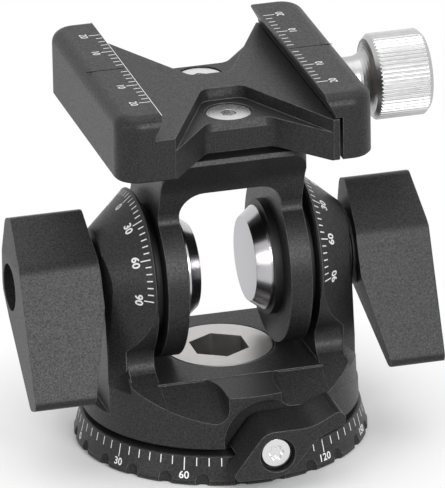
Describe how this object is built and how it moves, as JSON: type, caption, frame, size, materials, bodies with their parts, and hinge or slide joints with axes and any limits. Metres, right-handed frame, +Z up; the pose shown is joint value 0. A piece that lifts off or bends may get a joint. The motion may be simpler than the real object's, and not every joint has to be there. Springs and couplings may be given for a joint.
{
  "type": "tilt head",
  "caption": "camera tilt head: a degree-marked pan base, a forked body with wing knobs, a tilting arch yoke and a knurled-knob dovetail clamp on top",
  "frame": {"origin": "centre of the base's bottom face, on the pan axis", "axes": "+Z up along the pan axis, +X along the tilt axis towards the clamp's knob, -Y to the front with the pan lock lever"},
  "size_m": [0.0894, 0.0677, 0.0837],
  "materials": {
    "black_anodised": "fine bead-blasted black anodised aluminium with white engraved scales",
    "satin_steel": "turned satin steel with a polished bevel",
    "bright_steel": "bright plated steel",
    "silver_anodised": "clear anodised aluminium with straight knurling",
    "bronze": "plain bearing bronze",
    "black_polymer": "dark low-friction polymer"
  },
  "bodies": {
    "base": {"pan_base": "black_anodised", "thread_insert": "satin_steel", "pan_slide_ring": "black_polymer", "centre_bolt": "satin_steel"},
    "fork": {"fork_body": "black_anodised", "pan_bush": "bronze", "pan_thrust_washer": "bronze", "ear_bushes": "bronze", "thrust_washers": "black_polymer"},
    "tilt_yoke": {"yoke": "black_anodised", "left_axle": "satin_steel", "right_axle": "satin_steel", "axle_collars": "black_polymer", "friction_washers": "black_polymer", "clamp_body": "black_anodised", "clamp_screws": "bright_steel"},
    "left_knob": {"left_wing_knob": "black_anodised", "left_knob_nut": "bronze", "left_knob_plug": "satin_steel"},
    "right_knob": {"right_wing_knob": "black_anodised", "right_knob_nut": "bronze", "right_knob_plug": "satin_steel"},
    "jaw": {"clamp_jaw": "black_anodised", "guide_pins": "satin_steel", "jaw_washer": "bronze"},
    "screw_knob": {"clamp_knob": "silver_anodised", "clamp_spindle": "satin_steel"},
    "lever": {"lock_lever": "black_anodised", "lever_screw": "bright_steel", "lock_spindle": "satin_steel", "lock_tip": "bronze"}
  },
  "joints": [
    {"name": "pan_turn", "type": "hinge", "parent": "base", "child": "fork", "pos_m": [0, 0, 0.0065], "axis": [0, 0, 1], "continuous": true},
    {"name": "tilt", "type": "hinge", "parent": "fork", "child": "tilt_yoke", "pos_m": [0, 0, 0.0375], "axis": [1, 0, 0], "range_deg": [-90, 75]},
    {"name": "left_knob_turn", "type": "hinge", "parent": "fork", "child": "left_knob", "pos_m": [-0.0278, 0, 0.0375], "axis": [-1, 0, 0], "range_deg": [-20, 340]},
    {"name": "right_knob_turn", "type": "hinge", "parent": "fork", "child": "right_knob", "pos_m": [0.0278, 0, 0.0375], "axis": [1, 0, 0], "range_deg": [-20, 340]},
    {"name": "jaw_slide", "type": "slide", "parent": "tilt_yoke", "child": "jaw", "axis": [1, 0, 0], "range_m": [-0.0005, 0.0055]},
    {"name": "clamp_knob_turn", "type": "hinge", "parent": "jaw", "child": "screw_knob", "pos_m": [0.0272, 0, 0.0747], "axis": [1, 0, 0], "range_deg": [-180, 1980]},
    {"name": "lever_turn", "type": "hinge", "parent": "fork", "child": "lever", "pos_m": [0.0021, -0.03, 0.0087], "axis": [0, 1, 0], "range_deg": [-10, 12]}
  ],
  "couplings": [
    {"joint": "clamp_knob_turn", "follows": "jaw_slide", "rad_per_m": 6283.2}
  ]
}
